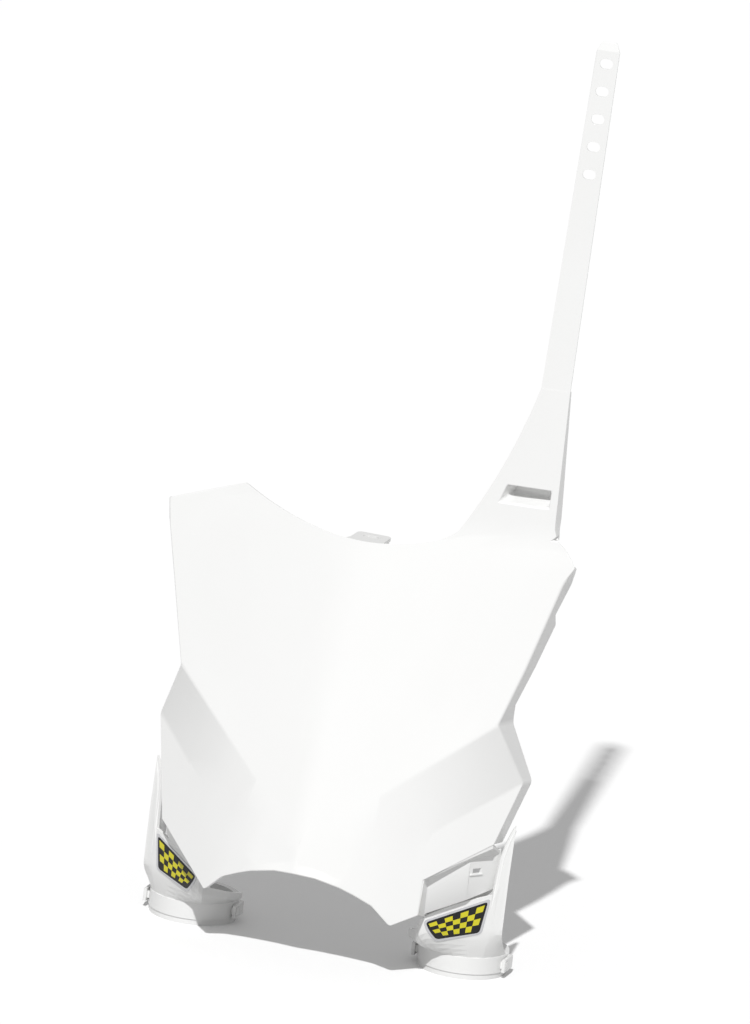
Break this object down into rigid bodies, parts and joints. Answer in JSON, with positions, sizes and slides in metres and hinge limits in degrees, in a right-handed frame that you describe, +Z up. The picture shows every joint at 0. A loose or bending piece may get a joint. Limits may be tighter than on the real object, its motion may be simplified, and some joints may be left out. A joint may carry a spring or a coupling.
{
  "type": "motorcycle front number plate",
  "caption": "Creased off-road motorcycle front number plate with side returns, a tall perforated strap, a rear shelf and two fork shrouds whose collars close with latched rear clips.",
  "frame": {"origin": "midway between the two fork axes, level with the bottom of the collars", "axes": "+Z up along the fork legs, +Y towards the rear so the plate faces -Y, +X towards the viewer's right as seen from the front"},
  "size_m": [0.3145, 0.1403, 0.6958],
  "materials": {
    "white_plastic": "gloss",
    "clip_plastic": "gloss",
    "sticker": "gloss"
  },
  "bodies": {
    "root": {"number_plate": "white_plastic", "fork_shroud_left": "white_plastic", "fork_shroud_right": "white_plastic", "collar_clip_left": "clip_plastic", "collar_clip_right": "clip_plastic", "decal_left": "sticker", "decal_right": "sticker"}
  },
  "joints": []
}
